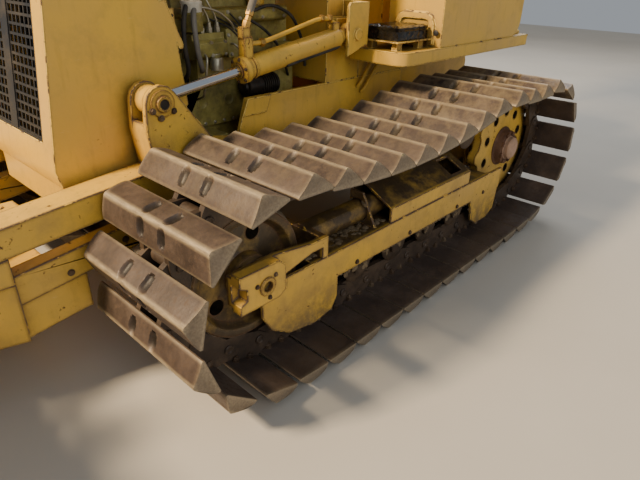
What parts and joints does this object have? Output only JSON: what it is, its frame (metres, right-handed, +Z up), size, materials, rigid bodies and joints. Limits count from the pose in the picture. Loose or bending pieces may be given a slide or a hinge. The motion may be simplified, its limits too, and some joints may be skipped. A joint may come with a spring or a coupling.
{
  "type": "bulldozer",
  "caption": "Tracked bulldozer, worn yellow, with wide low-ground-pressure shoes, an angling and tilting blade on a C-frame, open engine sides and a post canopy.",
  "frame": {"origin": "on the ground, under the middle of the machine's length and width", "axes": "+X forward to the blade, +Y to the machine's left, +Z up"},
  "size_m": [4.06, 2.46, 2.63],
  "materials": {
    "yellow_paint": "worn yellow paint with rust at the edges",
    "dark_paint": "satin black paint, dusty",
    "engine_casting": "oily painted casting",
    "worn_steel": "worn, dusty steel",
    "roller_steel": "dirty cast steel",
    "plated_rod": "polished plated rod",
    "sooted_steel": "sooted, rusty steel",
    "seat_vinyl": "black vinyl",
    "battery_case": "black moulded case"
  },
  "bodies": {
    "machine": {"air_cleaner": "dark_paint", "battery": "battery_case", "canopy": "yellow_paint", "cowl": "yellow_paint", "drawbar": "yellow_paint", "engine": "engine_casting", "exhaust": "sooted_steel", "fan": "dark_paint", "floor": "yellow_paint", "fuel_tank": "yellow_paint", "grille": "dark_paint", "hood": "yellow_paint", "hull": "yellow_paint", "left_carrier_roller": "roller_steel", "left_final_drive": "yellow_paint", "left_idler": "roller_steel", "left_idler_yoke": "yellow_paint", "left_rops_post": "yellow_paint", "left_side_box": "yellow_paint", "left_sprocket": "yellow_paint", "left_track": "worn_steel", "left_track_frame": "yellow_paint", "left_track_rollers": "roller_steel", "levers": "dark_paint", "radiator": "dark_paint", "radiator_guard": "yellow_paint", "rear_case": "yellow_paint", "right_carrier_roller": "roller_steel", "right_final_drive": "yellow_paint", "right_idler": "roller_steel", "right_idler_yoke": "yellow_paint", "right_rops_post": "yellow_paint", "right_side_box": "yellow_paint", "right_sprocket": "yellow_paint", "right_track": "worn_steel", "right_track_frame": "yellow_paint", "right_track_rollers": "roller_steel", "seat_back": "seat_vinyl", "seat_box": "yellow_paint", "seat_cushion": "seat_vinyl"},
    "c_frame": {"left_frame_arm": "yellow_paint", "right_frame_arm": "yellow_paint", "left_low_rail": "yellow_paint", "right_low_rail": "yellow_paint", "nose": "yellow_paint"},
    "yoke": {"blade_yoke": "yellow_paint"},
    "blade": {"moldboard": "yellow_paint", "cutting_edge": "worn_steel"},
    "tilt_barrel": {"tilt_barrel": "yellow_paint"},
    "tilt_rod": {"tilt_rod": "plated_rod"},
    "left_lift_barrel": {"left_lift_barrel": "yellow_paint"},
    "left_lift_rod": {"left_lift_rod": "plated_rod"},
    "left_angle_barrel": {"left_angle_barrel": "yellow_paint"},
    "left_angle_rod": {"left_angle_rod": "plated_rod"},
    "right_lift_barrel": {"right_lift_barrel": "yellow_paint"},
    "right_lift_rod": {"right_lift_rod": "plated_rod"},
    "right_angle_barrel": {"right_angle_barrel": "yellow_paint"},
    "right_angle_rod": {"right_angle_rod": "plated_rod"}
  },
  "joints": [
    {"name": "frame_lift", "type": "hinge", "parent": "machine", "child": "c_frame", "pos_m": [-0.43, 0, 0.52], "axis": [0, -1, 0], "range_deg": [-8, 20]},
    {"name": "blade_angle", "type": "hinge", "parent": "c_frame", "child": "yoke", "pos_m": [1.62, 0, 0.4], "axis": [0, 0, 1], "range_deg": [-25, 25]},
    {"name": "blade_tilt", "type": "hinge", "parent": "yoke", "child": "blade", "pos_m": [1.8, 0, 0.4], "axis": [1, 0, 0], "range_deg": [-8, 8]},
    {"name": "left_lift_swing", "type": "hinge", "parent": "machine", "child": "left_lift_barrel", "pos_m": [-0.43, 0.41, 1.06], "axis": [0, -1, 0], "range_deg": [-9, 21]},
    {"name": "left_lift_slide", "type": "slide", "parent": "left_lift_barrel", "child": "left_lift_rod", "axis": [0.9895, 0, -0.1447], "range_m": [-0.1875, 0.078]},
    {"name": "left_angle_swing", "type": "hinge", "parent": "c_frame", "child": "left_angle_barrel", "pos_m": [1.05, 0.17, 0.55], "axis": [0, 0, 1], "range_deg": [-9, 9]},
    {"name": "left_angle_slide", "type": "slide", "parent": "left_angle_barrel", "child": "left_angle_rod", "axis": [0.9132, 0.4074, 0], "range_m": [-0.168, 0.168]},
    {"name": "right_lift_swing", "type": "hinge", "parent": "machine", "child": "right_lift_barrel", "pos_m": [-0.43, -0.41, 1.06], "axis": [0, -1, 0], "range_deg": [-9, 21]},
    {"name": "right_lift_slide", "type": "slide", "parent": "right_lift_barrel", "child": "right_lift_rod", "axis": [0.9895, 0, -0.1447], "range_m": [-0.1875, 0.078]},
    {"name": "right_angle_swing", "type": "hinge", "parent": "c_frame", "child": "right_angle_barrel", "pos_m": [1.05, -0.17, 0.55], "axis": [0, 0, 1], "range_deg": [-9, 9]},
    {"name": "right_angle_slide", "type": "slide", "parent": "right_angle_barrel", "child": "right_angle_rod", "axis": [0.9132, -0.4074, 0], "range_m": [-0.168, 0.168]},
    {"name": "tilt_swing", "type": "hinge", "parent": "yoke", "child": "tilt_barrel", "pos_m": [1.716, -0.12, 0.76], "axis": [1, 0, 0], "range_deg": [-7, 7]},
    {"name": "tilt_slide", "type": "slide", "parent": "tilt_barrel", "child": "tilt_rod", "axis": [0, 1, 0], "range_m": [-0.0505, 0.0505]}
  ],
  "couplings": [
    {"joint": "left_lift_swing", "follows": "frame_lift", "ratio": 1},
    {"joint": "left_lift_slide", "follows": "frame_lift", "m_per_rad": -0.536},
    {"joint": "left_angle_swing", "follows": "blade_angle", "ratio": 0.355},
    {"joint": "left_angle_slide", "follows": "blade_angle", "m_per_rad": -0.384},
    {"joint": "right_lift_swing", "follows": "frame_lift", "ratio": 1},
    {"joint": "right_lift_slide", "follows": "frame_lift", "m_per_rad": -0.536},
    {"joint": "right_angle_swing", "follows": "blade_angle", "ratio": 0.355},
    {"joint": "right_angle_slide", "follows": "blade_angle", "m_per_rad": 0.384},
    {"joint": "tilt_swing", "follows": "blade_tilt", "ratio": 0.809},
    {"joint": "tilt_slide", "follows": "blade_tilt", "m_per_rad": -0.359}
  ]
}
